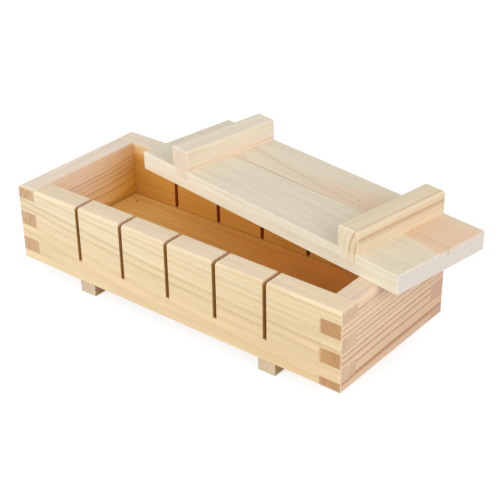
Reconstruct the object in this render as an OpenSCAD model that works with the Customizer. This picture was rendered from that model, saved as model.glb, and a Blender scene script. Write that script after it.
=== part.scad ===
// Pressed-sushi box: a bottomless finger-jointed frame over a floor board on two feet,
// with a loose pressing lid. Drawn with the lid laid askew across the rim.
// X runs along the box, Y from front to back, Z up from the table.

/* [Frame] */
// Length of the frame over its end boards
frame_l = 240; // [200:1:300]
// Width of the frame over its long boards
frame_w = 101; // [80:1:140]
// Height of the four walls
frame_h = 49.5; // [36:0.5:70]
// Thickness of the four wall boards
board_t = 13.8; // [9:0.1:18]

/* [Finger joints] */
// Height of one finger
finger_h = 9; // [6:0.5:14]
// Height of the lowest finger, which the lower edge of the wall cuts short
finger_first = 5.8; // [3:0.1:9]

/* [Knife slits] */
// Number of slits in each long board
slit_count = 5; // [2:1:7]
// Distance from slit to slit, which is the width of one portion
slit_pitch = 35; // [20:0.5:42]
// Width of the saw cut
slit_w = 2.6; // [1.2:0.1:4]

/* [Floor board and feet] */
// Thickness of the floor board
floor_t = 13.6; // [9:0.1:18]
// Gap all round between the floor board and the frame
floor_gap = 0.5; // [0.3:0.1:1.5]
// Height of the feet under the frame
foot_h = 10.4; // [6:0.1:20]
// Width of a foot
foot_w = 12; // [9:0.1:20]
// Distance of a foot's middle from the end of the floor board
foot_from_end = 37; // [20:0.5:60]
// Distance of a foot's end behind the face of the long board
foot_inset = 3; // [0:0.5:8]
// Radius of the lower edges of a foot
foot_edge_r = 0.8; // [0.3:0.1:3]

/* [Lid] */
// Thickness of the lid board
lid_t = 11.6; // [8:0.1:18]
// Gap all round between the lid board and the frame when it is pressed in
lid_gap = 1.6; // [0.5:0.1:3]
// Width of a cross bar
cleat_w = 14.6; // [10:0.1:24]
// Height of a cross bar above the lid board
cleat_h = 13.6; // [8:0.1:24]
// Distance of a cross bar's middle from the end of the lid board
cleat_from_end = 35.8; // [20:0.1:60]
// Radius of the upper edges of a cross bar
cleat_edge_r = 1.6; // [0.5:0.1:3]

/* [Sliding dovetails] */
// Depth of a cross bar's dovetail in the lid board
dovetail_d = 5.4; // [3:0.1:7]
// Angle of the dovetail's sides
dovetail_angle = 9; // [4:1:12]
// Shoulder on the left of a cross bar's dovetail
shoulder_left = 3.8; // [1.5:0.1:4]
// Shoulder on the right of a cross bar's dovetail
shoulder_right = 1.9; // [1.5:0.1:4]
// Depth of a foot's dovetail in the floor board
foot_dovetail_d = 5; // [3:0.1:7]
// Shoulder on each side of a foot's dovetail
foot_shoulder = 2; // [1.5:0.1:3]

/* [Lid as it lies on the rim] */
// Middle of the lid to the right of the middle of the frame
lid_right = 34.8; // [0:0.1:50]
// Middle of the lid behind the middle of the frame
lid_back = 31.4; // [0:0.1:40]
// Turn of the lid, seen from above
lid_turn = -9; // [-15:0.5:15]

/* [Hidden] */
$fn = 48;

inner_l = frame_l - 2 * board_t;
inner_w = frame_w - 2 * board_t;
floor_l = inner_l - 2 * floor_gap;
floor_w = inner_w - 2 * floor_gap;
foot_l = frame_w - 2 * foot_inset;
lid_l = inner_l - 2 * lid_gap;
lid_w = inner_w - 2 * lid_gap;
foot_x = floor_l / 2 - foot_from_end;
cleat_x = lid_l / 2 - cleat_from_end;

// The knife stops on the floor board, so the slits end level with its upper face.
slit_bottom = floor_t;
frame_z = foot_h;
lid_z = frame_z + frame_h;

// Heights where one finger ends and the next begins. A sliver at the rim joins its neighbour.
least_finger = finger_h / 4;
finger_edges = concat([0],
                      [for (z = finger_first; z < frame_h - least_finger; z = z + finger_h) z],
                      [frame_h]);
finger_total = len(finger_edges) - 1;
lower_set = 0;
upper_set = 1;

// How far a cut runs past the wood, so that it opens cleanly.
past = 2;

// The object stands centred on the table: its outline is the frame with the lid that reaches past it.
lid_reach_x = lid_right + lid_l / 2 * cos(lid_turn) + lid_w / 2 * abs(sin(lid_turn));
lid_reach_y = lid_back + lid_l / 2 * abs(sin(lid_turn)) + lid_w / 2 * cos(lid_turn);
centre_x = (max(frame_l / 2, lid_reach_x) - frame_l / 2) / 2;
centre_y = (max(frame_w / 2, lid_reach_y) - frame_w / 2) / 2;

wall_colour = [0.90, 0.78, 0.60];
end_colour = [0.85, 0.68, 0.52];
floor_colour = [0.80, 0.58, 0.38];
lid_colour = [0.95, 0.88, 0.76];

// ---- shared shapes

// Cuts at one end of a board, drawn with x = 0 at its end: the gaps between the fingers of one set.
module finger_gaps(own_set) {
    for (i = [0 : finger_total - 1])
        if (i % 2 != own_set) {
            low = i == 0 ? -past : finger_edges[i];
            high = i == finger_total - 1 ? frame_h + past : finger_edges[i + 1];
            translate([-past, low]) square([board_t + past, high - low]);
        }
}

// Face of a wall board, standing on z = 0 and centred on x: fingers of the lower set at its left
// end, of the upper set at its right end.
module wall_face(length) {
    difference() {
        translate([-length / 2, 0]) square([length, frame_h]);
        translate([-length / 2, 0]) finger_gaps(lower_set);
        translate([length / 2, 0]) mirror([1, 0]) finger_gaps(upper_set);
    }
}

module knife_slits() {
    for (i = [0 : slit_count - 1])
        translate([(i - (slit_count - 1) / 2) * slit_pitch - slit_w / 2, slit_bottom])
            square([slit_w, frame_h - slit_bottom + past]);
}

// Stands a drawing in x and z up, with its depth running back from y = 0.
module stand_up(depth) {
    translate([0, depth, 0]) rotate([90, 0, 0]) linear_extrude(depth) children();
}

// Cross-section of a dovetail, narrow at y = 0 and wide at its full depth.
module dovetail(depth, left, right) {
    flare = depth * tan(dovetail_angle);
    polygon([[left, 0], [right, 0], [right + flare, depth], [left - flare, depth]]);
}

// Cross-section of a bar, standing on y = 0 and centred on x, with its two upper edges rounded.
module bar_section(width, height, edge_r) {
    translate([-width / 2, 0]) square([width, height - edge_r]);
    translate([-width / 2 + edge_r, 0]) square([width - 2 * edge_r, height]);
    for (side = [-1, 1])
        translate([side * (width / 2 - edge_r), height - edge_r]) circle(edge_r);
}

module cleat_dovetail() {
    dovetail(dovetail_d, -cleat_w / 2 + shoulder_left, cleat_w / 2 - shoulder_right);
}

module foot_dovetail() {
    dovetail(foot_dovetail_d, -foot_w / 2 + foot_shoulder, foot_w / 2 - foot_shoulder);
}

// ---- where each group stands

module in_frame() {
    translate([-centre_x, -centre_y, frame_z]) children();
}

module on_table() {
    translate([-centre_x, -centre_y, 0]) children();
}

// Lid drawings have z = 0 at the underside of the lid board.
module on_rim() {
    translate([lid_right - centre_x, lid_back - centre_y, lid_z]) rotate([0, 0, lid_turn]) children();
}

// ---- frame

module long_board() {
    translate([0, -frame_w / 2, 0])
        stand_up(board_t)
            difference() {
                wall_face(frame_l);
                knife_slits();
            }
}

module end_board() {
    rotate([0, 0, 90])
        translate([0, -frame_l / 2, 0])
            stand_up(board_t) wall_face(frame_w);
}

module front_board() {
    color(wall_colour) in_frame() long_board();
}

module back_board() {
    color(wall_colour) in_frame() rotate([0, 0, 180]) long_board();
}

module right_end_board() {
    color(end_colour) in_frame() end_board();
}

module left_end_board() {
    color(end_colour) in_frame() rotate([0, 0, 180]) end_board();
}

// ---- base

module floor_board() {
    color(floor_colour)
        in_frame()
            translate([0, -floor_w / 2, 0])
                stand_up(floor_w)
                    difference() {
                        translate([-floor_l / 2, 0]) square([floor_l, floor_t]);
                        for (side = [-1, 1])
                            translate([side * foot_x, 0]) foot_dovetail();
                    }
}

// A foot is drawn with its bar hanging below z = foot_h and its dovetail standing above it.
module foot() {
    union() {
        translate([0, -foot_l / 2, foot_h])
            stand_up(foot_l) mirror([0, 1]) bar_section(foot_w, foot_h, foot_edge_r);
        translate([0, -floor_w / 2, foot_h])
            stand_up(floor_w) foot_dovetail();
    }
}

module left_foot() {
    color(wall_colour) on_table() translate([-foot_x, 0, 0]) foot();
}

module right_foot() {
    color(wall_colour) on_table() translate([foot_x, 0, 0]) foot();
}

// ---- lid

module lid_board() {
    color(lid_colour)
        on_rim()
            translate([0, -lid_w / 2, 0])
                stand_up(lid_w)
                    difference() {
                        translate([-lid_l / 2, 0]) square([lid_l, lid_t]);
                        for (side = [-1, 1])
                            translate([side * cleat_x, lid_t])
                                mirror([0, 1]) cleat_dovetail();
                    }
}

module cleat() {
    translate([0, -lid_w / 2, lid_t])
        union() {
            stand_up(lid_w) bar_section(cleat_w, cleat_h, cleat_edge_r);
            stand_up(lid_w) mirror([0, 1]) cleat_dovetail();
        }
}

module left_cleat() {
    color(lid_colour) on_rim() translate([-cleat_x, 0, 0]) cleat();
}

module right_cleat() {
    color(lid_colour) on_rim() translate([cleat_x, 0, 0]) cleat();
}

front_board();
back_board();
left_end_board();
right_end_board();
floor_board();
left_foot();
right_foot();
lid_board();
left_cleat();
right_cleat();
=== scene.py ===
# %% [markdown]
# A pressed-sushi box in bare softwood: four finger-jointed walls, a loose floor board on two feet, and a
# loose lid with two cross bars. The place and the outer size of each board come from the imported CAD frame,
# which this first cell loads. What a box can't tell, such as the height of a finger, is written here as the
# CAD model has it. Blender gives each board its eased arrises and its own growth lines, and leaves every
# piece where the CAD has it.

import bmesh
import bpy
import numpy as np
from mathutils import Matrix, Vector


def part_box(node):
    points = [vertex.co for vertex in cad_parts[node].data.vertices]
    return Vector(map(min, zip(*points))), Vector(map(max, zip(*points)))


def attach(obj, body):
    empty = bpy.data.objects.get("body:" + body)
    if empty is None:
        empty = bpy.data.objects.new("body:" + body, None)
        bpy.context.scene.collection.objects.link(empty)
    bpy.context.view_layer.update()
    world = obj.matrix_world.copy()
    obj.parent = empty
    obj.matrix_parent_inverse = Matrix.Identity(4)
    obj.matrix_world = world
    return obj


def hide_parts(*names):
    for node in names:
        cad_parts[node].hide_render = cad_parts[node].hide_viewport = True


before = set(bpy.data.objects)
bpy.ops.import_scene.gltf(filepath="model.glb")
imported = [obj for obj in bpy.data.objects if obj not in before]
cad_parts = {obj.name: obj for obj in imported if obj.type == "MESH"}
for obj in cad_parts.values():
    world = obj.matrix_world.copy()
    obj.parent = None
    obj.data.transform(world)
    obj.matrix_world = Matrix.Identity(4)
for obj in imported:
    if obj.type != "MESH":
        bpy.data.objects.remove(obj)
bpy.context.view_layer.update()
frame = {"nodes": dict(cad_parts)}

MM = 0.001
print("nodes:", ", ".join(frame["nodes"]))

# %% [markdown]
# The camera stands where the photograph was taken from. Its turn round the box, its height and its lens were
# found by fitting the straight edges of the box, so they are written here as plain numbers. Azimuth 0 looks
# along +Y.

# %% Camera
AZIMUTH, ELEVATION, ROLL = np.radians([39.058, 29.494, -0.928])
CAMERA_DISTANCE = 0.73381
CAMERA_TARGET = np.array([3.637, -10.362, 35.498]) * MM
LENS_MM, SENSOR_MM = 89.88, 36


def direction(azimuth, elevation):
    """Unit vector from the box to a place: (sin az cos el, -cos az cos el, sin el), angles in radians."""
    level = np.cos(elevation)
    return np.array([np.sin(azimuth) * level, -np.cos(azimuth) * level, np.sin(elevation)])


def stand(axes, place):
    """Matrix that turns an object's own x, y and z to the columns of axes and moves it to a place."""
    return Matrix([[*row, at] for row, at in zip(axes, place)] + [[0, 0, 0, 1]])


back = direction(AZIMUTH, ELEVATION)
level_right = np.cross(-back, [0, 0, 1])
level_right /= np.linalg.norm(level_right)
level_up = np.cross(level_right, -back)
camera_x = level_right * np.cos(ROLL) + level_up * np.sin(ROLL)
camera_y = level_up * np.cos(ROLL) - level_right * np.sin(ROLL)
camera_place = CAMERA_TARGET + back * CAMERA_DISTANCE

camera_data = bpy.data.cameras.new("photo_camera")
camera_data.lens, camera_data.sensor_width = LENS_MM, SENSOR_MM
camera = bpy.data.objects.new("photo_camera", camera_data)
bpy.context.collection.objects.link(camera)
camera.matrix_world = stand(np.stack([camera_x, camera_y, back], 1), camera_place)
bpy.context.scene.camera = camera
print("camera stands at", camera_place.round(3))

# %% [markdown]
# Every piece is a sawn outline carried straight through its thickness, as a board is cut on a bench. What
# makes it look real is the arris: a few strokes with fine paper round each edge. Bevel modifiers would round
# the glued joints as well, so the rounding is worked out here instead, with its own radius for each edge of
# the outline.

# %% Outline helpers
IN_LINE = 1e-6


def unit(vectors):
    """Each vector divided by its own length."""
    return vectors / np.linalg.norm(vectors, axis=-1, keepdims=True)


def inset_corners(corners, insets):
    """Moves every edge of a counter-clockwise outline inwards by its own inset.

    With n and m the outward normals before and after a corner, c their dot product, and a and b the two
    insets, the corner moves by -(a (n - c m) + b (m - c n)) / (1 - c^2), or by -(a + b) / 2 n where its
    edges are in line.
    """
    along = unit(np.roll(corners, -1, axis=-2) - corners)
    after = np.stack([along[..., 1], -along[..., 0]], axis=-1)
    before = np.roll(after, 1, axis=-2)
    c = (after * before).sum(-1, keepdims=True)
    a, b = np.roll(insets, 1, axis=-1)[..., None], insets[..., None]
    straight = 1 - c * c < IN_LINE
    mitre = (a * (before - c * after) + b * (after - c * before)) / np.where(straight, 1, 1 - c * c)
    return corners - np.where(straight, (a + b) / 2 * after, mitre)


def ease_corners(corners, radii, steps=5):
    """Turns each corner A into a curve of a few points: (1-s)^2 P + 2s(1-s) A + s^2 Q, with s from 0 to 1.

    P and Q lie one radius before and after the corner.
    """
    p = corners - radii[..., None] * unit(corners - np.roll(corners, 1, axis=-2))
    q = corners + radii[..., None] * unit(np.roll(corners, -1, axis=-2) - corners)
    s = np.linspace(0, 1, steps)[:, None]
    curve = (1 - s) ** 2 * p[..., None, :] + 2 * s * (1 - s) * corners[..., None, :] + s**2 * q[..., None, :]
    return curve.reshape(*corners.shape[:-2], -1, 2)


def arris(radius, depth):
    """Inset of an arris at a depth under the face: r - sqrt(r^2 - (r - d)^2) down to d = r, then none."""
    left = np.clip(radius - depth, 0, None)
    return radius - np.sqrt(radius**2 - left**2)


# %% [markdown]
# The carried board itself is a grid: one row of points for each station through the thickness, one column
# for each point of the outline. Stations crowd together near the two faces, where the arris curves. The two
# faces close the ends of the tube, and merging what coincides leaves one watertight skin.

# %% Carry an outline through its thickness
ARRIS_STATIONS = 6
CORNER_TIGHTENING = 0.8
SAME_POINT = 1e-7
SHARP_ANGLE = np.radians(38)


def carried(name, body, corners, depth, near, far, corner_radii, origin, axes, extra_stations=()):
    """Point (i, j) = origin + u(i, j) U + w(i, j) W + v(i) V, where (u, w) is outline point j at station i.

    near and far hold the arris radius of each edge at v = 0 and v = depth; axes is (U, V, W). The corner
    curves tighten with the arris. extra_stations are depths where the outline itself steps; corners then has
    one outline per station.
    """
    reach = max(near.max(), far.max())
    curve = reach * (1 - np.cos(np.linspace(0, np.pi / 2, ARRIS_STATIONS)))
    stations = np.concatenate([curve, extra_stations, depth - curve[::-1]])
    insets = np.maximum(arris(near, stations[:, None]), arris(far, depth - stations[:, None]))
    tight = 1 - CORNER_TIGHTENING * insets.max(axis=1, keepdims=True) / reach
    ring = ease_corners(inset_corners(corners, insets), corner_radii * tight)
    u_axis, v_axis, w_axis = (np.array(a, float) for a in axes)
    points = (np.array(origin) + ring[..., :1] * u_axis + ring[..., 1:] * w_axis
              + stations[:, None, None] * v_axis)
    rows, columns = points.shape[:2]
    index = np.arange(rows * columns).reshape(rows, columns)
    onward = np.roll(index, -1, axis=1)
    skin = np.stack([index[:-1], onward[:-1], onward[1:], index[1:]], axis=-1).reshape(-1, 4)
    mesh = bpy.data.meshes.new(name + "_planed")
    ends = [index[0].tolist(), index[-1].tolist()]
    mesh.from_pydata(points.reshape(-1, 3).tolist(), [], skin.tolist() + ends)
    tidy = bmesh.new()
    tidy.from_mesh(mesh)
    bmesh.ops.remove_doubles(tidy, verts=tidy.verts, dist=SAME_POINT)
    bmesh.ops.recalc_face_normals(tidy, faces=tidy.faces)
    tidy.to_mesh(mesh)
    tidy.free()
    mesh.polygons.foreach_set("use_smooth", np.ones(len(mesh.polygons), bool))
    mesh.set_sharp_from_angle(angle=SHARP_ANGLE)
    piece = bpy.data.objects.new(name + "_planed", mesh)
    bpy.context.collection.objects.link(piece)
    shading = piece.modifiers.new("flat faces stay flat", "WEIGHTED_NORMAL")
    shading.keep_sharp = True
    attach(piece, body)
    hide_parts(name)
    print(f"{name}: {len(mesh.vertices)} points, {len(mesh.polygons)} faces")
    return piece


def node_box(name):
    """Low corner, high corner, middle and size of a CAD node, in metres."""
    low, high = (np.array(corner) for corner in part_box(name))
    return low, high, (low + high) / 2, high - low


# %% [markdown]
# The four walls share one outline: fingers at both ends, and on the long boards five saw cuts that guide the
# knife. The outline is listed once round, with a word for each edge, and the word sets how much the edge is
# eased. Glued joints keep a hair line of 0.06 mm, so that they read as joints without a groove. The last
# stretch of a rim or sole, over a finger, is a word of its own, because its inner edge is a joint as well,
# and a short taper leads into it.

# %% Wall boards
FINGER_EDGES = np.array([0, 5.8, 14.8, 23.8, 32.8, 41.8, 49.5]) * MM
SLIT_CENTRES = np.array([-70, -35, 0, 35, 70]) * MM
SLIT_WIDTH, SLIT_BOTTOM = 2.6 * MM, 13.6 * MM
RIM_ARRIS, CORNER_ARRIS, SOLE_ARRIS, INNER_ARRIS = 2.0 * MM, 0.8 * MM, 0.5 * MM, 0.4 * MM
JOINT_LINE, SAWN_ARRIS, ROOT_TAPER = 0.06 * MM, 0.16 * MM, 0.6 * MM
RIM, SOLE, END, JOINT, CUT, RIM_TIP, SOLE_TIP = range(7)
NEAR_ARRIS = np.array([RIM_ARRIS, SOLE_ARRIS, CORNER_ARRIS, JOINT_LINE, SAWN_ARRIS, RIM_ARRIS, SOLE_ARRIS])
FAR_ARRIS = np.array([INNER_ARRIS, SOLE_ARRIS, JOINT_LINE, JOINT_LINE, SAWN_ARRIS, JOINT_LINE, JOINT_LINE])


def finger_end(length, thickness, own_set):
    """Corners up one end of a board: at length/2 where a band is the board's own, else one thickness in."""
    own = np.arange(len(FINGER_EDGES) - 1) % 2 == own_set
    out = np.where(own, length / 2, length / 2 - thickness)
    heights = np.stack([FINGER_EDGES[:-1], FINGER_EDGES[1:]], 1).ravel()
    corners = np.stack([np.repeat(out, 2), heights], axis=1)
    kinds = np.full(len(corners), JOINT)
    kinds[0::2] = np.where(own, END, JOINT)
    return corners, kinds


def wall_outline(length, thickness, slits):
    """Right end going up, rim from right to left with its slits, left end going down, then the sole."""
    right, right_kinds = finger_end(length, thickness, 1)
    left, left_kinds = finger_end(length, thickness, 0)
    left, left_kinds = left[::-1] * [-1, 1], np.roll(left_kinds[::-1], -1)
    side, low = np.array([1, 1, -1, -1]) * SLIT_WIDTH / 2, [0, 1, 1, 0]
    height = np.where(low, SLIT_BOTTOM, FINGER_EDGES[-1])
    cuts = np.stack([(slits[::-1, None] + side).ravel(), np.tile(height, len(slits))], axis=1)
    cut_kinds = np.tile([CUT, CUT, CUT, RIM], len(slits))
    right_kinds[-1], left_kinds[-1] = RIM_TIP, SOLE_TIP
    root = length / 2 - thickness - np.array([[0], [ROOT_TAPER]])
    rim_root, sole_root = np.insert(root, 1, FINGER_EDGES[-1], axis=1), np.insert(-root, 1, 0, axis=1)
    return (np.concatenate([right, rim_root, cuts, left, sole_root]),
            np.concatenate([right_kinds, [RIM_TIP, RIM], cut_kinds, left_kinds, [SOLE_TIP, SOLE]]))


def corner_radii(kinds):
    """Full radius where the rim meets an end, less at the sole and a slit's mouth, a hair line at a joint."""
    kinds = np.select([kinds == RIM_TIP, kinds == SOLE_TIP], [RIM, SOLE], kinds)
    before = np.roll(kinds, 1)
    low, high = np.minimum(kinds, before), np.maximum(kinds, before)
    meetings = [(low == RIM) & (high == END), (low == SOLE) & (high == END), (low == RIM) & (high == CUT)]
    return np.select(meetings, [RIM_ARRIS, SOLE_ARRIS, SAWN_ARRIS], JOINT_LINE)


def wall(name, u_axis, v_axis, slits):
    """Stands a wall board where its CAD node is, its outer face at depth 0 and its depth going inwards."""
    middle, size = node_box(name)[2:]
    along, across = np.abs(u_axis) @ size, np.abs(v_axis) @ size
    corners, kinds = wall_outline(along, across, slits)
    origin = middle - np.array(v_axis) * across / 2 - [0, 0, size[2] / 2]
    return carried(name, "frame", corners, across, NEAR_ARRIS[kinds], FAR_ARRIS[kinds],
                   corner_radii(kinds), origin, (u_axis, v_axis, (0, 0, 1)))


NO_SLITS = np.zeros(0)
front_board = wall("front_board", (1, 0, 0), (0, 1, 0), SLIT_CENTRES)
back_board = wall("back_board", (-1, 0, 0), (0, -1, 0), SLIT_CENTRES)
right_end_board = wall("right_end_board", (0, 1, 0), (-1, 0, 0), NO_SLITS)
left_end_board = wall("left_end_board", (0, -1, 0), (1, 0, 0), NO_SLITS)

# %% [markdown]
# The floor board and the lid board are the same kind of thing: a plain board with two dovetail grooves
# across it, in the underside of the floor and in the top of the lid. Their cross-section is carried over the
# width.

# %% Floor board and lid board
DOVETAIL_SLOPE = np.tan(np.radians(9))
FLOOR_GROOVE = (5 * MM, -4 * MM, 4 * MM)
LID_GROOVE = (5.4 * MM, -3.5 * MM, 5.4 * MM)
FOOT_TO_END, BAR_TO_END = 37 * MM, 35.8 * MM
BOARD_ARRIS = 0.5 * MM
FACE, GROOVE = 0, 1


def grooved_outline(length, thickness, groove, to_end):
    """Section of a board with two dovetail grooves on top; a groove is its depth and its mouth's sides."""
    deep, left, right = groove
    flare = deep * DOVETAIL_SLOPE
    shape = np.array([[right, 0], [right + flare, -deep], [left - flare, -deep], [left, 0]])
    middles = np.array([length / 2 - to_end, to_end - length / 2])
    grooves = (shape + np.stack([middles, np.full(2, thickness)], 1)[:, None]).reshape(-1, 2)
    half = length / 2
    corners = np.concatenate([[[-half, 0], [half, 0], [half, thickness]], grooves, [[-half, thickness]]])
    kinds = np.array([FACE] * 3 + [GROOVE, GROOVE, GROOVE, FACE] * 2 + [FACE])
    return corners, kinds


def grooved_board(name, body, groove, to_end, middle, size, turn, eased, upside_down=False):
    """Carries the grooved section over the board's width; turn is the angle of its length from +X."""
    corners, kinds = grooved_outline(size[0], size[2], groove, to_end)
    radii = np.where((kinds == FACE) & (np.roll(kinds, 1) == FACE), eased, JOINT_LINE)
    edges = np.where(kinds == FACE, eased, JOINT_LINE)
    u_axis = np.array([np.cos(turn), np.sin(turn), 0])
    v_axis = np.array([-np.sin(turn), np.cos(turn), 0])
    w_axis = np.array([0, 0, -1 if upside_down else 1])
    origin = middle - v_axis * size[1] / 2 - w_axis * size[2] / 2
    return carried(name, body, corners, size[1], edges, edges, radii, origin, (u_axis, v_axis, w_axis))


LID_TURN = np.radians(-9)
floor_middle, floor_size = node_box("floor_board")[2:]
floor_board = grooved_board("floor_board", "base", FLOOR_GROOVE, FOOT_TO_END, floor_middle,
                            floor_size, 0, BOARD_ARRIS, upside_down=True)
lid_middle = node_box("lid_board")[2]
LID_SIZE = np.array([209.2, 70.2, 11.6]) * MM
lid_board = grooved_board("lid_board", "lid", LID_GROOVE, BAR_TO_END, lid_middle, LID_SIZE,
                          LID_TURN, BOARD_ARRIS)

# %% [markdown]
# The cross bars of the lid are what the hands lean on, so their upper edges are rounded well. Each bar and
# its dovetail are one outline. A foot is the same, turned over, but its dovetail is only as long as the
# floor board: past the floor its points lie flat in the bar's upper face.

# %% Cross bars and feet
BAR_WIDTH, BAR_HEIGHT, BAR_CURVE = 14.6 * MM, 13.6 * MM, 1.92 * MM
BAR_SIDE_ARRIS, BAR_TOP_ARRIS, BAR_LOWER_EDGE = 0.5 * MM, 0.8 * MM, 0.15 * MM
FOOT_WIDTH, FOOT_HEIGHT, FOOT_CURVE = 12 * MM, 10.4 * MM, 0.88 * MM
FOOT_SIDE_ARRIS, FOOT_SOLE_ARRIS, FOOT_UPPER_EDGE = 0.4 * MM, 0.5 * MM, 0.2 * MM
FLAT_POINT = 3 * MM


def bar_outline(width, height, groove):
    """Bar on z = 0 with its dovetail hanging below, counter-clockwise from the dovetail's lower left."""
    deep, left, right = groove
    flare = deep * DOVETAIL_SLOPE
    return np.array([[left - flare, -deep], [right + flare, -deep], [right, 0], [width / 2, 0],
                     [width / 2, height], [-width / 2, height], [-width / 2, 0], [left, 0]])


def bar_edges(tail, shoulder, side, top):
    """One value for each edge of bar_outline; edges of one kind share it."""
    return np.array([tail, tail, shoulder, side, top, side, shoulder, tail])


def bar_corners(shoulder, top):
    """A curve's reach for each corner of bar_outline: joint lines at the dovetail, then shoulders and top."""
    return np.array([JOINT_LINE] * 3 + [shoulder, top, top, shoulder, JOINT_LINE])


def cross_bar(name):
    """Stands a cross bar on the lid, its length along the lid's width."""
    _, high, middle, _ = node_box(name)
    along = np.array([-np.sin(LID_TURN), np.cos(LID_TURN), 0])
    origin = np.array([middle[0], middle[1], high[2] - BAR_HEIGHT]) - along * LID_SIZE[1] / 2
    ends = bar_edges(JOINT_LINE, JOINT_LINE, BAR_SIDE_ARRIS, BAR_TOP_ARRIS)
    outline = bar_outline(BAR_WIDTH, BAR_HEIGHT, LID_GROOVE)
    return carried(name, "lid", outline, LID_SIZE[1], ends, ends,
                   bar_corners(BAR_LOWER_EDGE, BAR_CURVE), origin,
                   ((np.cos(LID_TURN), np.sin(LID_TURN), 0), along, (0, 0, 1)))


def foot(name):
    """Hangs a foot under the floor board; the outline is upside down, so its w axis points down."""
    low, _, middle, size = node_box(name)
    full = bar_outline(FOOT_WIDTH, FOOT_HEIGHT, FLOOR_GROOVE)
    flat = full.copy()
    flat[:2] = [[-FLAT_POINT, 0], [FLAT_POINT, 0]]
    shoulder = (size[1] - floor_size[1]) / 2
    steps = np.array([shoulder, shoulder, size[1] - shoulder, size[1] - shoulder])
    has_dovetail = np.array([False] * ARRIS_STATIONS + [False, True, True, False] + [False] * ARRIS_STATIONS)
    corners = np.where(has_dovetail[:, None, None], full, flat)
    ends = bar_edges(JOINT_LINE, JOINT_LINE, FOOT_SIDE_ARRIS, FOOT_SOLE_ARRIS)
    origin = np.array([middle[0], low[1], FOOT_HEIGHT])
    return carried(name, "base", corners, size[1], ends, ends,
                   bar_corners(FOOT_UPPER_EDGE, FOOT_CURVE), origin,
                   ((1, 0, 0), (0, 1, 0), (0, 0, -1)), steps)


left_cleat, right_cleat = cross_bar("left_cleat"), cross_bar("right_cleat")
left_foot, right_foot = foot("left_foot"), foot("right_foot")

# %% [markdown]
# The wood comes next. A small helper keeps the node code short: it adds a node, and joins each input either
# to a number or to another node's output, so that a formula reads from left to right.

# %% Node helpers
class Wiring:
    """Adds nodes to one tree; a value is a number, a tuple or another node's output."""

    def __init__(self, tree):
        self.tree = tree

    def add(self, kind, inputs=None, **settings):
        made = self.tree.nodes.new("ShaderNode" + kind)
        for key, value in settings.items():
            setattr(made, key, value)
        for key, value in (inputs or {}).items():
            self.join(value, made.inputs[key])
        return made

    def join(self, value, socket):
        if isinstance(value, bpy.types.NodeSocket):
            self.tree.links.new(value, socket)
        else:
            socket.default_value = value

    def math(self, operation, *values, clamp=False):
        return self.add("Math", dict(enumerate(values)), operation=operation, use_clamp=clamp).outputs[0]

    def vector(self, operation, *values):
        made = self.add("VectorMath", dict(enumerate(values)), operation=operation)
        return made.outputs["Value" if operation == "LENGTH" else "Vector"]

    def step(self, value, low, high, to_low=0.0, to_high=1.0):
        """Smooth step of a value from low to high."""
        return self.add("MapRange", {"Value": value, "From Min": low, "From Max": high, "To Min": to_low,
                                     "To Max": to_high}, interpolation_type="SMOOTHSTEP").outputs["Result"]

    def mix(self, factor, a, b, blend="MIX"):
        made = self.add("Mix", data_type="RGBA", blend_type=blend)
        for value, place in ((factor, 0), (a, 6), (b, 7)):
            self.join(value, made.inputs[place])
        return made.outputs[2]

    def noise(self, position, scale, detail=2.0, rough=0.5, seed=0.0):
        made = self.add("TexNoise", {"Vector": position, "Scale": scale, "Detail": detail, "Roughness": rough,
                                     "W": seed}, noise_dimensions="4D")
        return made.outputs

    def split(self, vector):
        return self.add("SeparateXYZ", {0: vector}).outputs

    def bundle(self, x, y, z):
        return self.add("CombineXYZ", {0: x, 1: y, 2: z}).outputs[0]

    def shaded(self, colour, brightness):
        """A colour times a brightness."""
        return self.mix(1.0, colour, self.bundle(brightness, brightness, brightness), "MULTIPLY")


def new_group(name, inputs, outputs):
    """A node group with named sockets; inputs maps a name to its default value, which sets its kind."""
    tree = bpy.data.node_groups.new(name, "ShaderNodeTree")
    kinds = {1: "NodeSocketFloat", 3: "NodeSocketVector", 4: "NodeSocketColor"}
    for key, value in inputs.items():
        size = len(value) if isinstance(value, tuple) else 1
        socket = tree.interface.new_socket(key, in_out="INPUT", socket_type=kinds[size])
        socket.default_value = value
    for key, kind in outputs.items():
        tree.interface.new_socket(key, in_out="OUTPUT", socket_type=kind)
    wires = Wiring(tree)
    source = tree.nodes.new("NodeGroupInput").outputs
    sink = tree.nodes.new("NodeGroupOutput").inputs
    return wires, source, sink


def place_group(wires, name, inputs):
    """Puts a node group into a tree with its own values, and gives its outputs."""
    made = wires.add("Group", node_tree=bpy.data.node_groups[name])
    for key, value in inputs.items():
        wires.join(value, made.inputs[key])
    return made.outputs


FLOAT, COLOR = "NodeSocketFloat", "NodeSocketColor"
WHITE = (1.0, 1.0, 1.0, 1.0)

# %% [markdown]
# Wood is solid, so its figure is worked out in space and each face of a board cuts through it: long lines on
# the faces, arcs on the ends. A growth ring is a tube round the tree's heart, and no tree is straight, so
# the heart leans and bows along the board. The distance from the heart is counted in rings, which grow
# narrower or wider outwards. Early wood is pale, late wood darkens slowly and ends sharply, and no two years
# are the same.

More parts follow.
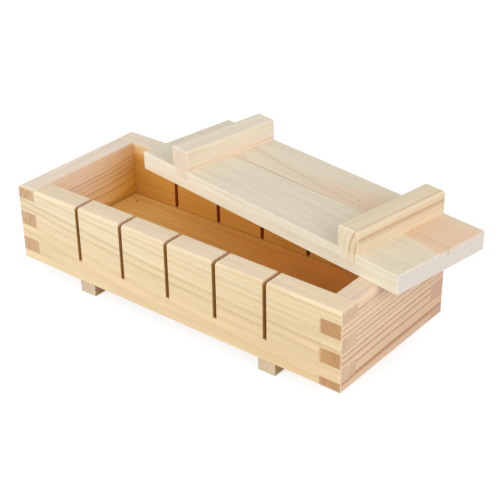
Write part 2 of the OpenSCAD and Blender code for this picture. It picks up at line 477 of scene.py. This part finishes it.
# %% Growth rings
LATE_END = 0.9
FAINTEST_YEAR = 0.15
PLACE_INPUTS = {"Position": (0.0, 0.0, 0.0), "Seed": 0.0}
RING_INPUTS = {
    "Heart": (0.0, 0.09, -0.03), "Lean": (0.0, 0.0, 0.0), "Inner Radius": 0.1, "Ring Width": 0.0018,
    "Narrowing": 0.0, "Uneven": 0.0, "Wander": 0.001, "Late Start": 0.3}
wires, source, sink = new_group("growth_rings", PLACE_INPUTS | RING_INPUTS,
                                {"Late Wood": FLOAT, "Year": FLOAT, "Slow": FLOAT, "Radius": FLOAT})
x, y, z = wires.split(source["Position"])
_, heart_y, heart_z = wires.split(source["Heart"])
lean_y, bow_y, lean_z = wires.split(source["Lean"])
slow = wires.noise(wires.vector("MULTIPLY", source["Position"], (0.22, 1.0, 1.0)), 22.0, 1.5, 0.45,
                   source["Seed"])
bend = wires.vector("MULTIPLY", wires.vector("SUBTRACT", slow["Color"], (0.5, 0.5, 0.5)),
                    wires.bundle(0.0, source["Wander"], source["Wander"]))
_, bend_y, bend_z = wires.split(bend)
lean = wires.math("MULTIPLY", x, wires.math("MULTIPLY_ADD", x, bow_y, lean_y))
from_y = wires.math("SUBTRACT", wires.math("ADD", y, bend_y), wires.math("ADD", heart_y, lean))
from_z = wires.math("SUBTRACT", wires.math("ADD", z, bend_z), wires.math("MULTIPLY_ADD", x, lean_z, heart_z))
radius = wires.math("SQRT", wires.math("ADD", wires.math("MULTIPLY", from_y, from_y),
                                       wires.math("MULTIPLY", from_z, from_z)))
depth = wires.math("SUBTRACT", radius, source["Inner Radius"])
slower = wires.math("SUBTRACT", 1.0, wires.math("MULTIPLY", depth, source["Narrowing"]))
count = wires.math("MULTIPLY_ADD", wires.math("DIVIDE", depth, source["Ring Width"]), slower, LATE_END)
spacing = wires.add("TexNoise", {"W": wires.math("ADD", count, source["Seed"]), "Scale": 0.7, "Detail": 0.0},
                    noise_dimensions="1D").outputs["Fac"]
count = wires.math("MULTIPLY_ADD", wires.math("SUBTRACT", spacing, 0.5), source["Uneven"], count)
part = wires.math("FRACT", count)
year = wires.add("TexWhiteNoise", {"W": wires.math("ADD", wires.math("FLOOR", count), source["Seed"])},
                 noise_dimensions="1D").outputs["Value"]
darkened = wires.step(part, source["Late Start"], LATE_END)
late = wires.math("SUBTRACT", darkened, wires.step(part, LATE_END, 1.0))
patchy = wires.noise(wires.vector("MULTIPLY", source["Position"], (0.12, 1.0, 1.0)), 60.0, 2.0, 0.5,
                     wires.math("ADD", source["Seed"], 9.0))["Fac"]
strength = wires.math("MULTIPLY", wires.math("MULTIPLY_ADD", year, 1 - FAINTEST_YEAR, FAINTEST_YEAR),
                      wires.step(patchy, 0.25, 0.7, 0.6, 1.1))
wires.join(wires.math("MULTIPLY", late, strength), sink["Late Wood"])
wires.join(year, sink["Year"])
wires.join(slow["Fac"], sink["Slow"])
wires.join(radius, sink["Radius"])

# %% [markdown]
# Between the rings, the wood is made of fibres: fine streaks along the board. On a sawn end the same fibres
# are cut across and read as specks. Each kind is one noise around zero: a streak's is squeezed along the
# grain, so that it comes out long, and a speck's is left as it is.

# %% Fibres
FIBRE_KINDS = {"Streak": (0.03, 900.0, 3.0, 0.6), "Broad": (0.05, 190.0, 2.0, 0.55),
               "Speck": (1.0, 1500.0, 2.0, 0.6)}
wires, source, sink = new_group("fibres", PLACE_INPUTS, dict.fromkeys(FIBRE_KINDS, FLOAT))
for kind, (squeeze, scale, detail, rough) in FIBRE_KINDS.items():
    grain = wires.vector("MULTIPLY", source["Position"], (squeeze, 1.0, 1.0))
    fibre = wires.noise(grain, scale, detail, rough, source["Seed"])["Fac"]
    wires.join(wires.math("SUBTRACT", fibre, 0.5), sink[kind])

# %% [markdown]
# Some masks follow from where a point lies and where its surface faces. The sawn ends drink in more light
# and look browner. The cheeks of a knife slit are sawn ends too, but away from the board's ends; with the
# slit's floor, below its mouth, they take a darker colour: painted shade in the slit. The inner faces take a
# warm tint, stronger the deeper they lie: painted warm shade of the box's inside. And the eased arrises take
# a colour of their own, on most boards a paler one, a painted highlight: a point is near an edge when the
# second smallest of its distances to the board's faces is small.

# %% Masks on a board
SLITS_FROM_END = 22 * MM
RIM_DEPTH = 3 * MM
MOUTH_TOP, MOUTH_FOOT = 1.0 * MM, 2.4 * MM
MASK_INPUTS = {"Facing": (0.0, 0.0, 1.0), "Half Size": (0.1, 0.007, 0.02), "Arris Reach": 0.0009,
               "Inside Depth": 0.04, "Inside Slant": 0.0}
wires, source, sink = new_group("board_masks", PLACE_INPUTS | MASK_INPUTS, dict.fromkeys(
    ("Sawn", "Slit", "Inside", "Rim", "Arris"), FLOAT))
facing_x, facing_y, facing_z = wires.split(source["Facing"])
sawn = wires.step(wires.math("ABSOLUTE", facing_x), 0.55, 0.8)
inwards = wires.vector("SUBTRACT", source["Half Size"], wires.vector("ABSOLUTE", source["Position"]))
x, y, z = wires.split(inwards)
wires.join(sawn, sink["Sawn"])
below_rim = wires.math("SUBTRACT", wires.split(source["Half Size"])[2], wires.split(source["Position"])[2])
upwards = wires.step(facing_z, 0.5, 0.95)
# Painted shade in the knife slits: their sawn and upward faces, away from the board's ends and below the
# mouth.
cut = wires.math("MAXIMUM", sawn, upwards)
in_slit = wires.math("MULTIPLY", wires.math("GREATER_THAN", x, SLITS_FROM_END),
                     wires.step(below_rim, MOUTH_TOP, MOUTH_FOOT))
wires.join(wires.math("MULTIPLY", cut, in_slit), sink["Slit"])
# Painted warm shade on the inner faces: stronger the lower a point lies, and with a slant, towards one end.
to_end = wires.math("DIVIDE", wires.split(source["Position"])[0], wires.split(source["Half Size"])[0])
deeper = wires.math("SUBTRACT", wires.math("DIVIDE", below_rim, source["Inside Depth"]),
                    wires.math("MULTIPLY", to_end, source["Inside Slant"]))
faces_inwards = wires.step(facing_y, 0.3, 0.8)
wires.join(wires.math("MULTIPLY", faces_inwards, wires.step(deeper, -0.15, 1.1)), sink["Inside"])
wires.join(wires.math("MULTIPLY", upwards, wires.math("LESS_THAN", below_rim, RIM_DEPTH)), sink["Rim"])
# Where the arris colour goes; on most boards that colour is paler, a painted highlight, and on the floor it
# is dark.
nearer, farther = wires.math("MINIMUM", x, y), wires.math("MAXIMUM", x, y)
second = wires.math("MAXIMUM", nearer, wires.math("MINIMUM", farther, z))
patchy = wires.noise(source["Position"], 160.0, 2.0, 0.5, source["Seed"])["Fac"]
near_edge = wires.step(second, 0.0, source["Arris Reach"], 1.0, 0.0)
wires.join(wires.math("MULTIPLY", near_edge, wires.step(patchy, 0.25, 0.6, 0.5, 1.0)), sink["Arris"])

# %% [markdown]
# One group puts these together into planed wood. It mixes the early and late colours by the rings, warms and
# cools whole years a little, turns the wood near the heart to its deeper colour, adds streaks, browns the
# sawn ends, lays the painted shade on the inner faces and in the slits, and gives the arrises their own
# colour, on most boards a painted highlight. It also gives a roughness and a height, so that late wood
# stands a hair proud and shines a little more, as it does after planing.

# %% Planed wood
STREAK_CONTRAST, BROAD_CONTRAST, SPECK_CONTRAST = 0.3, 0.26, 0.35
CORE_BLEND = 4 * MM
PLANED_ROUGHNESS, STREAK_ROUGHER, LATE_SMOOTHER, SAWN_ROUGHER = 0.62, 0.2, -0.1, 0.15
LATE_HEIGHT, SPECK_HEIGHT = 0.5, 1.5
COLOUR_INPUTS = dict.fromkeys(
    ("Early", "Early Warm", "Late", "Core", "End Early", "End Late", "End Core", "Slit", "Inside", "Rim",
     "Arris", "Left Tint", "Right Tint"), WHITE)
AMOUNT_INPUTS = {"Line": 1.0, "End Line": 1.0, "Core Radius": 0.0, "Rim Amount": 0.0, "Arris Amount": 0.5}
wires, source, sink = new_group(
    "planed_wood", PLACE_INPUTS | RING_INPUTS | MASK_INPUTS | COLOUR_INPUTS | AMOUNT_INPUTS,
    {"Color": COLOR, "Roughness": FLOAT, "Height": FLOAT})
shared = {key: source[key] for key in PLACE_INPUTS}
rings = place_group(wires, "growth_rings", shared | {key: source[key] for key in RING_INPUTS})
fibre = place_group(wires, "fibres", shared)
mask = place_group(wires, "board_masks", shared | {key: source[key] for key in MASK_INPUTS})
half_length = wires.split(source["Half Size"])[0]
along = wires.step(wires.math("DIVIDE", wires.split(source["Position"])[0], half_length), -1.0, 1.0)

warm_year = wires.math("MULTIPLY", wires.math("SUBTRACT", rings["Year"], 0.5), 0.5)
warm = wires.math("ADD", wires.step(rings["Slow"], 0.35, 0.65), warm_year, clamp=True)
from_core = wires.math("SUBTRACT", rings["Radius"], source["Core Radius"])
in_core = wires.step(from_core, -CORE_BLEND, CORE_BLEND, 1.0, 0.0)
early = wires.mix(in_core, wires.mix(warm, source["Early"], source["Early Warm"]), source["Core"])
line = wires.math("MULTIPLY", rings["Late Wood"], source["Line"], clamp=True)
face = wires.mix(line, early, source["Late"])
# A tint from the left end to the right; on the floor and the right end wall it is painted shade, on the lid
# painted light at its left end.
face = wires.mix(1.0, face, wires.mix(along, source["Left Tint"], source["Right Tint"]), "MULTIPLY")
face = wires.mix(wires.math("MULTIPLY", mask["Rim"], source["Rim Amount"]), face, source["Rim"])
broad = wires.math("MULTIPLY_ADD", fibre["Broad"], BROAD_CONTRAST, 1.0)
face = wires.shaded(face, wires.math("MULTIPLY_ADD", fibre["Streak"], STREAK_CONTRAST, broad))
# Painted warm shade: the inner faces are tinted, more deeply the lower they lie.
face = wires.mix(mask["Inside"], face, wires.mix(1.0, face, source["Inside"], "MULTIPLY"))

line = wires.math("MULTIPLY", rings["Late Wood"], source["End Line"], clamp=True)
end = wires.mix(line, source["End Early"], source["End Late"])
end = wires.mix(in_core, end, wires.mix(1.0, end, source["End Core"], "MULTIPLY"))
end = wires.shaded(end, wires.math("MULTIPLY_ADD", fibre["Speck"], SPECK_CONTRAST, 1.0))
colour = wires.mix(mask["Sawn"], face, end)
# Painted highlight on the arrises of most boards; the floor's arris colour is dark instead.
colour = wires.mix(wires.math("MULTIPLY", mask["Arris"], source["Arris Amount"]), colour, source["Arris"])
# Painted shade in the knife slits.
wires.join(wires.mix(mask["Slit"], colour, source["Slit"]), sink["Color"])

rough = wires.math("MULTIPLY_ADD", fibre["Streak"], STREAK_ROUGHER, PLANED_ROUGHNESS)
rough = wires.math("MULTIPLY_ADD", rings["Late Wood"], LATE_SMOOTHER, rough)
wires.join(wires.math("MULTIPLY_ADD", mask["Sawn"], SAWN_ROUGHER, rough), sink["Roughness"])
relief = wires.math("MULTIPLY_ADD", rings["Late Wood"], LATE_HEIGHT, fibre["Streak"])
sawn_specks = wires.math("MULTIPLY", fibre["Speck"], mask["Sawn"])
wires.join(wires.math("MULTIPLY_ADD", sawn_specks, SPECK_HEIGHT, relief), sink["Height"])
print("node groups:", ", ".join(group.name for group in bpy.data.node_groups))

# %% [markdown]
# A pin knot is a dark dot where a twig started. It is a soft ball in space, squeezed to an oval.

# %% Pin knot
wires, source, sink = new_group("pin_knot", {"Position": (0.0, 0.0, 0.0), "Middle": (0.0, 0.0, 0.0),
                                             "Size": (0.001, 0.001, 0.001)}, {"Mask": FLOAT})
away = wires.vector("DIVIDE", wires.vector("SUBTRACT", source["Position"], source["Middle"]), source["Size"])
ragged = wires.math("MULTIPLY_ADD", wires.noise(source["Position"], 700.0, 1.0)["Fac"], 0.6, -0.3)
from_middle = wires.math("ADD", wires.vector("LENGTH", away), ragged)
wires.join(wires.step(from_middle, 0.3, 1.0, 1.0, 0.0), sink["Mask"])

# %% [markdown]
# Heart wood shows on the lid as a long flame: two darker lines with a pink blush behind the front one, which
# spreads forwards at the right end and fades behind a sloping rear edge. A line's place across the board is
# a middle plus a slope and a bow along the length.

# %% Heart flame
WOBBLE = 3 * MM
FRONT_LINE_WIDTH, BACK_LINE_WIDTH = 0.6 * MM, 0.9 * MM
FLARE_START, FLARE_SLOPE = 55 * MM, 0.16
REAR_MIDDLE, REAR_SLOPE, REAR_SOFTNESS, REAR_BLUSH = 18 * MM, 0.15, 8 * MM, 0.15
BLUSH_START, BLUSH_FULL, LEFT_BLUSH = -60 * MM, 90 * MM, 0.15
LINE_FADES, LINE_FAINT, RIGHT_LINE = -30 * MM, 50 * MM, 0.35
wires, source, sink = new_group(
    "heart_flame", PLACE_INPUTS | {"Front": (0.0, 0.0, 0.0), "Back": (0.0, 0.0, 0.0)},
    {"Blush": FLOAT, "Front Line": FLOAT, "Back Line": FLOAT})
wobble = wires.noise(wires.vector("MULTIPLY", source["Position"], (0.15, 1.0, 1.0)), 120.0, 2.0, 0.5,
                     source["Seed"])["Fac"]
x, y, _ = wires.split(source["Position"])
y = wires.math("ADD", y, wires.math("MULTIPLY_ADD", wobble, WOBBLE, -WOBBLE / 2))


def behind(side):
    """Distance behind a bowed line: y - (middle + slope x - bow x^2), all in metres."""
    middle, slope, bow = wires.split(side)
    bowed = wires.math("MULTIPLY", bow, wires.math("MULTIPLY", x, x))
    risen = wires.math("SUBTRACT", wires.math("MULTIPLY", slope, x), bowed)
    return wires.math("SUBTRACT", y, wires.math("ADD", middle, risen))


def thin_line(distance, width):
    """1 on the line, fading over one width in front of it and three behind it."""
    risen = wires.step(distance, -width, 0.0)
    return wires.math("MULTIPLY", risen, wires.step(distance, 0.0, 3 * width, 1.0, 0.0))


behind_front, behind_back = behind(source["Front"]), behind(source["Back"])
beyond = wires.math("SUBTRACT", y, wires.math("MULTIPLY_ADD", x, REAR_SLOPE, REAR_MIDDLE))
past_flare = wires.math("MAXIMUM", wires.math("SUBTRACT", x, FLARE_START), 0.0)
wider = wires.math("MULTIPLY_ADD", past_flare, FLARE_SLOPE, behind_front)
blush = wires.math("MULTIPLY", wires.step(wider, -1 * MM, 3 * MM),
                   wires.step(beyond, -REAR_SOFTNESS, REAR_SOFTNESS, 1.0, REAR_BLUSH))
growing = wires.step(x, BLUSH_START, BLUSH_FULL, LEFT_BLUSH, 1.0)
wires.join(wires.math("MULTIPLY", blush, growing), sink["Blush"])
fading = wires.step(x, LINE_FADES, LINE_FAINT, 1.0, RIGHT_LINE)
wires.join(wires.math("MULTIPLY", thin_line(behind_front, FRONT_LINE_WIDTH), fading), sink["Front Line"])
wires.join(thin_line(behind_back, BACK_LINE_WIDTH), sink["Back Line"])

# %% [markdown]
# Each board then gets a material of its own from the same groups, because no two boards come from the same
# tree. A Mapping node turns the object's coordinates into the board's: x along the grain, y from the bark
# side inwards, z up. The colours are what the eye reads on the photograph, turned into the light that
# Blender mixes.

# %% Board material helpers
QUARTER = np.pi / 2
BUMP_STRENGTH, BUMP_DEPTH = 0.35, 0.2 * MM
BARE_WOOD_GLOSS = 0.3


def seen(red, green, blue):
    """A colour as the eye reads it, 0 to 255, turned into linear light.

    With c the value over 255, it is ((c + 0.055) / 1.055)^2.4, or c / 12.92 where c is at most 0.04045.
    """
    c = np.array([red, green, blue]) / 255
    linear = np.where(c <= 0.04045, c / 12.92, ((c + 0.055) / 1.055) ** 2.4)
    return (*linear.tolist(), 1.0)


def board_wood(piece, turn, size, middle, **values):
    """Planed wood on one board; returns its wiring, board coordinates, colour and shader for extra marks."""
    material = bpy.data.materials.new(piece.name + "_wood")
    material.use_nodes = True
    wires = Wiring(material.node_tree)
    shader = material.node_tree.nodes["Principled BSDF"]
    coordinates = wires.add("TexCoord")
    place = wires.add("Mapping", {"Vector": coordinates.outputs["Object"], "Location": tuple(middle),
                                  "Rotation": (0, 0, turn)}, vector_type="TEXTURE").outputs[0]
    facing = wires.add("Mapping", {"Vector": coordinates.outputs["Normal"], "Rotation": (0, 0, -turn)},
                       vector_type="VECTOR").outputs[0]
    made = place_group(wires, "planed_wood", {"Position": place, "Facing": facing,
                                              "Half Size": tuple(np.array(size) / 2)} | values)
    wires.join(made["Roughness"], shader.inputs["Roughness"])
    bump = wires.add("Bump", {"Height": made["Height"], "Strength": BUMP_STRENGTH, "Distance": BUMP_DEPTH})
    wires.join(bump.outputs[0], shader.inputs["Normal"])
    wires.join(made["Color"], shader.inputs["Base Color"])
    shader.inputs["Specular IOR Level"].default_value = BARE_WOOD_GLOSS
    piece.data.materials.append(material)
    return wires, place, made["Color"], shader


def square_board_wood(piece, name, turn, **values):
    """Planed wood on a board that fills its CAD node's box; one turned by a quarter lies along Y."""
    middle, size = node_box(name)[2:]
    lies_along_y = abs(np.sin(turn)) > 0.5
    return board_wood(piece, turn, size[[1, 0, 2]] if lies_along_y else size, middle, **values)


# %% [markdown]
# The long walls are pale, straight-grained boards. Their heart lay low and behind, so the outer face shows
# long lines that close up towards the rim. The inner faces are tinted honey, painted warm shade of the box's
# inside, and the slits are painted darker, painted shade.

# %% Long walls
# The inner-face and slit colours of the long walls are painted shade.
long_wall = {
    "Early": seen(245, 227, 189), "Early Warm": seen(239, 215, 172), "Late": seen(220, 184, 134),
    "Core": seen(243, 215, 172), "End Early": seen(230, 200, 170), "End Late": seen(188, 146, 114),
    "Slit": seen(203, 157, 86), "Inside": seen(250, 220, 170), "Rim": seen(241, 220, 190),
    "Rim Amount": 0.75, "Arris": seen(246, 230, 196), "Arris Reach": 0.0015, "Arris Amount": 0.25,
    "Heart": (0.0, 0.0932, -0.0338)}
front_wood = long_wall | {
    "Lean": (0.0175, -0.072, -0.0216), "Inner Radius": 0.09892, "Ring Width": 0.00179, "Core Radius": 0.104,
    "Line": 0.65, "Left Tint": (1.0, 1.03, 1.06, 1.0), "Right Tint": (0.96, 0.94, 0.91, 1.0)}
back_wood = long_wall | {
    "Ring Width": 0.0016, "Line": 0.5, "Core Radius": 0.1, "Inside": seen(235, 201, 122),
    "Inside Depth": 0.01, "End Early": seen(222, 183, 158), "End Late": seen(196, 150, 124),
    "Rim": seen(252, 234, 215), "Slit": seen(196, 112, 56)}
square_board_wood(front_board, "front_board", 0, Seed=9746.0, **front_wood)
square_board_wood(back_board, "back_board", np.pi, Seed=11.0, **back_wood)
print("long walls: rings", front_wood["Ring Width"] / MM, "and", back_wood["Ring Width"] / MM, "mm wide")

# %% [markdown]
# The end walls come from redder wood with strong, thin late lines. Their hearts lay nearer, so the lines
# slant across the sawn fingers that show on the long walls. The left one's inner face turns from pink to
# honey towards the rear corner: painted warm shade. The right one is painted a little darker towards its
# rear end: painted shade under the lid's overhang.

# %% End walls
# The inner-face colours of the end walls are painted warm shade.
end_wall = {
    "Late Start": 0.6, "Uneven": 0.4, "Wander": 0.0006, "Early": seen(240, 210, 180),
    "Early Warm": seen(236, 200, 166), "Late": seen(186, 124, 78), "Core": seen(238, 204, 172),
    "End Early": seen(212, 165, 115), "End Late": seen(126, 74, 36), "End Line": 1.5,
    "Inside": seen(250, 228, 178), "Rim": seen(234, 215, 191), "Rim Amount": 0.7,
    "Arris": seen(240, 220, 192), "Arris Reach": 0.0015}
# The right tint here is painted shade: the rear end lies under the lid's overhang.
right_wood = end_wall | {
    "Heart": (0.0, 0.06, -0.027), "Lean": (0.0007, 0.034, 0.0167), "Inner Radius": 0.06748,
    "Ring Width": 0.001214, "Narrowing": 12.1, "Right Tint": (0.92, 0.91, 0.91, 1.0)}
left_wood = end_wall | {
    "Heart": (0.0, 0.0518, -0.0117), "Lean": (-0.0223, -0.657, -0.0659), "Inner Radius": 0.0449,
    "Ring Width": 0.00135, "Line": 0.8, "End Line": 1.1, "Early": seen(249, 230, 213),
    "Early Warm": seen(245, 220, 196), "Late": seen(193, 146, 107), "Inside": seen(248, 214, 92),
    "Inside Depth": 0.058, "Inside Slant": 0.6, "Rim": seen(246, 229, 209), "Rim Amount": 0.9,
    "End Early": seen(221, 184, 146), "End Late": seen(132, 88, 58)}
square_board_wood(right_end_board, "right_end_board", QUARTER, Seed=80509.0, **right_wood)
square_board_wood(left_end_board, "left_end_board", -QUARTER, Seed=40507.0, **left_wood)
print("end walls: rings", right_wood["Ring Width"] / MM, "and", left_wood["Ring Width"] / MM, "mm wide")

# %% [markdown]
# The floor board is painted the deepest and most orange of the boards: partly its own tone, partly painted
# warm shade of the box's inside. It turns darker and redder to the right, painted shade under the lid, and
# its edges are dark brown. A twig's mark lies near its rear left corner. The feet are plain sawn strips,
# their long faces darker than their ends: partly their own tone, partly painted shade under the frame. A
# mark is mixed over a board's colour before it reaches the shader.

# %% Floor board and feet
TWIG_AMOUNT = 0.7
# The floor's colours are partly its own tone and partly painted warm shade; its right tint is painted shade
# under the lid.
floor_wood = {
    "Heart": (0.0, 0.075, -0.03), "Ring Width": 0.0016, "Wander": 0.004, "Line": 0.45,
    "Early": seen(248, 206, 124), "Early Warm": seen(244, 196, 112), "Late": seen(200, 132, 64),
    "Core": seen(242, 188, 108), "End Early": seen(200, 140, 84), "End Late": seen(160, 100, 50),
    "Left Tint": (0.97, 0.95, 0.92, 1.0), "Right Tint": (1.12, 0.89, 0.76, 1.0), "Arris": seen(120, 70, 30),
    "Arris Amount": 0.6}
wires, place, colour, shader = square_board_wood(floor_board, "floor_board", 0, Seed=5.0, **floor_wood)
twig = place_group(wires, "pin_knot", {"Position": place, "Middle": (-0.0968, 0.0274, 0.0067),
                                       "Size": (0.0016, 0.0012, 0.003)})["Mask"]
twig = wires.math("MULTIPLY", twig, TWIG_AMOUNT)
wires.join(wires.mix(twig, colour, seen(120, 70, 34)), shader.inputs["Base Color"])

# The long faces are darker than the sawn ends: partly the wood's own tone, partly painted shade under the
# frame.
foot_wood = {
    "Heart": (0.0, 0.04, 0.02), "Ring Width": 0.0016, "Wander": 0.003, "Line": 0.6,
    "Early": seen(216, 184, 136), "Early Warm": seen(204, 168, 116), "Late": seen(176, 136, 84),
    "Core": seen(210, 176, 126), "End Early": seen(226, 206, 176), "End Late": seen(202, 174, 138),
    "Arris": seen(232, 214, 184)}
square_board_wood(left_foot, "left_foot", QUARTER, Seed=7.0, **foot_wood)
square_board_wood(right_foot, "right_foot", QUARTER, Seed=8.0, **foot_wood)
print("floor board and feet:", len(bpy.data.materials), "materials so far")

# %% [markdown]
# The lid board is the palest piece, nearly white at its sawn end. The heart flame is drawn on its top face
# only, and two pin knots mark it: one beside the flame and one at the right end, where the pink wood comes
# out. Towards its left end, over the open box, it is painted paler and cooler: painted light against the
# warm shade that the box throws onto it. Towards its right end it is darker.

# %% Lid board
LID_TOP_START, LID_TOP = 4.5 * MM, 5.8 * MM
FLAME_START, FLAME_FULL = -80 * MM, -68 * MM
BLUSH_AMOUNT, FRONT_LINE_AMOUNT, BACK_LINE_AMOUNT = 0.6, 0.55, 0.22
DOT_AMOUNT, SPOT_AMOUNT = 0.5, 0.35
# The left tint here is painted light over the open box; the right tint darkens the right end.
lid_wood = {
    "Heart": (0.0, 0.030, -0.020), "Ring Width": 0.0019, "Wander": 0.003, "Line": 0.1, "End Line": 0.5,
    "Early": seen(248, 240, 222), "Early Warm": seen(247, 235, 213), "Late": seen(218, 192, 158),
    "Core": seen(247, 237, 217), "End Early": seen(234, 224, 214), "End Late": seen(218, 202, 188),
    "Rim": seen(234, 219, 192), "Rim Amount": 0.6, "Left Tint": (1.0, 1.05, 1.06, 1.0),
    "Right Tint": (0.89, 0.9, 0.86, 1.0), "Arris": seen(250, 240, 218)}
wires, place, colour, shader = board_wood(lid_board, LID_TURN, LID_SIZE, lid_middle, Seed=42.0, **lid_wood)
flame = place_group(wires, "heart_flame", {"Position": place, "Front": (0.0021, 0.016, 0.0),
                                           "Back": (0.0102, -0.095, -0.6), "Seed": 2.0})
x, _, z = wires.split(place)
on_top = wires.step(z, LID_TOP_START, LID_TOP)
blush = wires.math("MULTIPLY", wires.math("MULTIPLY", flame["Blush"], on_top), BLUSH_AMOUNT)
colour = wires.mix(blush, colour, seen(240, 196, 160))
back_line = wires.math("MULTIPLY", flame["Back Line"], BACK_LINE_AMOUNT)
line = wires.math("MULTIPLY_ADD", flame["Front Line"], FRONT_LINE_AMOUNT, back_line)
line = wires.math("MULTIPLY", line, wires.step(x, FLAME_START, FLAME_FULL))
colour = wires.mix(wires.math("MULTIPLY", line, on_top, clamp=True), colour, seen(196, 152, 112))
dot = place_group(wires, "pin_knot", {"Position": place, "Middle": (0.0336, 0.0113, 0.006),
                                      "Size": (0.0016, 0.0011, 0.002)})["Mask"]
spot = place_group(wires, "pin_knot", {"Position": place, "Middle": (0.105, 0.0046, 0.004),
                                       "Size": (0.003, 0.0018, 0.0022)})["Mask"]
marks = wires.math("MULTIPLY_ADD", dot, DOT_AMOUNT, wires.math("MULTIPLY", spot, SPOT_AMOUNT))
wires.join(wires.mix(marks, colour, seen(184, 136, 108)), shader.inputs["Base Color"])
print("lid board: heart flame and two pin knots")

# %% [markdown]
# The two cross bars were cut from different strips. The left one has fine, faint rings. The right one has
# rings four millimetres wide, which arch over its end and run as two soft lines along its side.

# %% Cross bars
bar_wood = {
    "Wander": 0.001, "Early": seen(240, 228, 202), "Early Warm": seen(238, 220, 190),
    "Late": seen(204, 168, 128), "End Early": seen(238, 224, 196), "End Late": seen(200, 168, 128),
    "Rim Amount": 0.7, "Arris": seen(248, 238, 214)}
left_bar_wood = bar_wood | {
    "Heart": (0.0, -0.030, -0.020), "Inner Radius": 0.020, "Ring Width": 0.0019, "Line": 0.3,
    "End Line": 0.3, "Early": seen(236, 228, 209), "Core": seen(234, 206, 181), "Core Radius": 0.0275,
    "End Early": seen(239, 227, 205), "End Core": (1.0, 0.94, 0.92, 1.0), "Rim": seen(243, 231, 208)}
right_bar_wood = bar_wood | {
    "Heart": (0.0, -0.0374, -0.0096), "Inner Radius": 0.0322, "Ring Width": 0.004, "Line": 0.8,
    "Late Start": 0.6, "Core": seen(229, 208, 177), "Core Radius": 0.036,
    "End Core": (0.95, 0.88, 0.79, 1.0), "Rim": seen(232, 209, 170), "Rim Amount": 0.35}
for seed, piece, name, wood in ((15.0, left_cleat, "left_cleat", left_bar_wood),
                                (157.0, right_cleat, "right_cleat", right_bar_wood)):
    _, high, middle, _ = node_box(name)
    middle[2] = high[2] - BAR_HEIGHT / 2
    board_wood(piece, QUARTER + LID_TURN, (LID_SIZE[1], BAR_WIDTH, BAR_HEIGHT), middle, Seed=seed, **wood)
print("materials:", ", ".join(material.name for material in bpy.data.materials))

# %% [markdown]
# The photograph is a plain product shot: soft light from the front, a paler fill from the right, and white
# all round. The lamps and the sky light the wood at a plain level. The floor and the sky read as white to
# the camera only, so that their whiteness adds no light to the box, and the floor still takes its shadow.

# %% Lamps and sky
LAMP_DISTANCE, LAMP_SIZE = 1.4, 1.0
SKY_LEVEL = 0.5


def soft_lamp(name, azimuth, elevation, level):
    """A square lamp aimed at the box, with a power in watts of level x pi^2 x distance^2.

    The level is the light that a white card facing the lamp would send back.
    """
    data = bpy.data.lights.new(name, "AREA")
    data.size = LAMP_SIZE
    data.energy = level * np.pi**2 * LAMP_DISTANCE**2
    lamp = bpy.data.objects.new(name, data)
    bpy.context.collection.objects.link(lamp)
    away = direction(*np.radians([azimuth, elevation]))
    side = unit(np.cross([0, 0, 1], away))
    turned = np.stack([side, np.cross(away, side), away], 1)
    lamp.matrix_world = stand(turned, CAMERA_TARGET + away * LAMP_DISTANCE)
    print(f"{name}: {data.energy:.1f} W")


def shown_to_camera(wires):
    """1 for a ray from the camera, straight or by a mirror or glass, and 0 for a ray that gathers light."""
    paths = wires.add("LightPath").outputs
    direct = wires.math("MAXIMUM", paths["Is Camera Ray"], paths["Is Glossy Ray"])
    return wires.math("MAXIMUM", direct, paths["Is Transmission Ray"])


soft_lamp("front_window", -12, 22, 0.52)
soft_lamp("right_card", 78, 25, 0.49)

world = bpy.data.worlds.new("white_room")
bpy.context.scene.world = world
world.use_nodes = True
wires = Wiring(world.node_tree)
sky = world.node_tree.nodes["Background"]
sky.inputs["Color"].default_value = WHITE
strength = wires.math("MULTIPLY_ADD", shown_to_camera(wires), 1 - SKY_LEVEL, SKY_LEVEL)
wires.join(strength, sky.inputs["Strength"])

# %% [markdown]
# The floor is a flat disc of rings and spokes, wide enough to reach past every view. Its paper sends back
# part of the light, and its glow lifts it to white for the camera, so a shadow on it is a soft grey.

# %% Floor
FLOOR_REACH = 4.0
PAPER_GREY, PAPER_GLOW, PAPER_ROUGHNESS = 0.42, 0.76, 0.9
ring_count, spoke_count = 24, 64
floor_mesh = bpy.data.meshes.new("studio_floor")
radius = np.linspace(0, 1, ring_count)[1:, None] ** 2 * FLOOR_REACH
angle = np.linspace(0, 2 * np.pi, spoke_count, endpoint=False)
grid = np.stack([radius * np.cos(angle), radius * np.sin(angle), np.zeros_like(radius * angle)], -1)
index = np.arange(grid.shape[0] * spoke_count).reshape(-1, spoke_count)
onward = np.roll(index, -1, axis=1)
tiles = np.stack([index[:-1], index[1:], onward[1:], onward[:-1]], -1).reshape(-1, 4)
floor_mesh.from_pydata(grid.reshape(-1, 3).tolist(), [], [*tiles.tolist(), index[0].tolist()])
studio_floor = bpy.data.objects.new("studio_floor", floor_mesh)
bpy.context.collection.objects.link(studio_floor)

white_floor = bpy.data.materials.new("white_floor")
white_floor.use_nodes = True
wires = Wiring(white_floor.node_tree)
paper = white_floor.node_tree.nodes["Principled BSDF"]
paper.inputs["Base Color"].default_value = (PAPER_GREY, PAPER_GREY, PAPER_GREY, 1)
paper.inputs["Roughness"].default_value = PAPER_ROUGHNESS
paper.inputs["Emission Color"].default_value = WHITE
wires.join(wires.math("MULTIPLY", shown_to_camera(wires), PAPER_GLOW), paper.inputs["Emission Strength"])
floor_mesh.materials.append(white_floor)
print("studio floor:", len(floor_mesh.polygons), "tiles")

# Standard shows the colours as they were mixed, with no film curve over them.
bpy.context.scene.view_settings.view_transform = "Standard"
